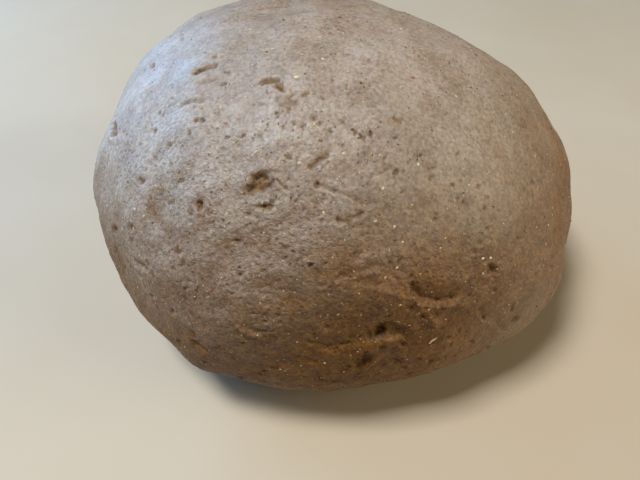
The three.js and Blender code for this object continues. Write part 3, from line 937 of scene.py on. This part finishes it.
def painted_floor():
    """Matt, warm grey-white paint rolled on a smooth floor, even but for faint broad clouds."""
    material, place = new_material("matt_painted_floor")
    cloud_size = 60  # mm
    tone = add(material, "ShaderNodeTexNoise", {"Vector": place, "Scale": 1 / cloud_size})["Fac"]
    tone = add(material, "ShaderNodeMapRange", {"Value": tone, "From Min": 0.3, "From Max": 0.7})[0]
    body = add(material, "ShaderNodeMix", {0: tone, 6: "#ab9c84", 7: "#aea08a"}, data_type="RGBA")[2]
    shader = add(
        material, "ShaderNodeBsdfPrincipled", {"Base Color": body, "Roughness": 0.7, "IOR": 1.45}
    )
    add(material, "ShaderNodeOutputMaterial", {"Surface": shader[0]})
    return material


# ---- The ball and its bran ----

skin, skin_points, skin_triangles = dough_skin()
skin.data.materials.append(kneaded_dough())
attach(skin, "root")
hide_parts("dough_ball")

pale_flakes = [
    *placed_flakes(skin_points, vertex_normals(skin_points, skin_triangles)),
    *strewn_flakes(skin_points, skin_triangles, **PALE_BRAN),
]
dark_flakes = strewn_flakes(skin_points, skin_triangles, **DARK_BRAN)
russet_flakes = strewn_flakes(skin_points, skin_triangles, **RUSSET_BRAN)
for name, flakes, material in (
    ("pale_bran", pale_flakes, bran("pale_wheat_bran", "#c8b894", "#a8946e")),
    ("dark_bran", dark_flakes, bran("dark_rye_bran", "#6b4c31", "#4c331f")),
    ("russet_bran", russet_flakes, bran("russet_bran", "#8a6042", "#76493a")),
):
    flakes_piece = bran_piece(name, flakes)
    flakes_piece.data.materials.append(material)
    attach(flakes_piece, "root")

# ---- Floor, light and camera ----

FLOOR_WIDTH = 4.0  # m

LIGHT_DISTANCE = 1.2  # m
SOFT_LIGHTS = [  # name, azimuth, rise, width in m, watts, colour
    ("window", 142, 23, 0.8, 13.5, "#8cc6ff"),
    ("left_fill", 166, 22, 0.66, 4.5, "#9fd0ff"),
    ("lamp", 199, 69, 0.31, 18, "#f6f9ff"),
    ("right_fill", 344, 21, 0.66, 9.5, "#fff3d6"),
]
ROOM_COLOUR = "#ecd9c0"
ROOM_STRENGTH = 0.06

CAMERA_PLACE = (-6.2, -134.6, 129.4)  # mm, solved from the ball's outline
CAMERA_DOWN = 43.3  # degrees
CAMERA_LENS = 29.1  # mm, with the sensor's usual width of 36 mm
CAMERA_NEAREST = 0.01  # m


def floor():
    half = FLOOR_WIDTH / 2
    corners = [(-half, -half, 0), (half, -half, 0), (half, half, 0), (-half, half, 0)]
    piece = new_piece("floor", corners, [(0, 1, 2, 3)])
    piece.data.materials.append(painted_floor())
    piece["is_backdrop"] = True


def soft_light(name, azimuth, rise, width, watts, code):
    """A square light in a direction from the middle of the foot, in degrees, that faces it."""
    light = bpy.data.lights.new(name, "AREA")
    light.shape = "SQUARE"
    light.size = width
    light.energy = watts
    light.color = colour(code)[:3]
    lamp = bpy.data.objects.new(name, light)
    lamp.location = direction_to(azimuth, rise) * LIGHT_DISTANCE
    lamp.rotation_euler = (math.pi / 2 - math.radians(rise), 0, math.radians(azimuth + 90))
    lamp.visible_camera = False
    bpy.context.scene.collection.objects.link(lamp)


def studio():
    """The soft lights, in a dim warm room."""
    for light in SOFT_LIGHTS:
        soft_light(*light)
    world = bpy.data.worlds.new("studio")
    world.use_nodes = True
    backdrop = world.node_tree.nodes["Background"]
    backdrop.inputs["Color"].default_value = colour(ROOM_COLOUR)
    backdrop.inputs["Strength"].default_value = ROOM_STRENGTH
    bpy.context.scene.world = world


def camera():
    view = bpy.data.cameras.new("camera")
    view.lens = CAMERA_LENS
    view.clip_start = CAMERA_NEAREST
    stand = bpy.data.objects.new("camera", view)
    stand.location = [value * MM for value in CAMERA_PLACE]
    stand.rotation_euler = (math.radians(90 - CAMERA_DOWN), 0, 0)
    bpy.context.scene.collection.objects.link(stand)
    bpy.context.scene.camera = stand


floor()
studio()
camera()
bpy.context.scene.view_settings.view_transform = "Standard"

boxes = {"cad": cad_bounds, "visual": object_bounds()}
{name: [list(corner) for corner in box] for name, box in boxes.items()}
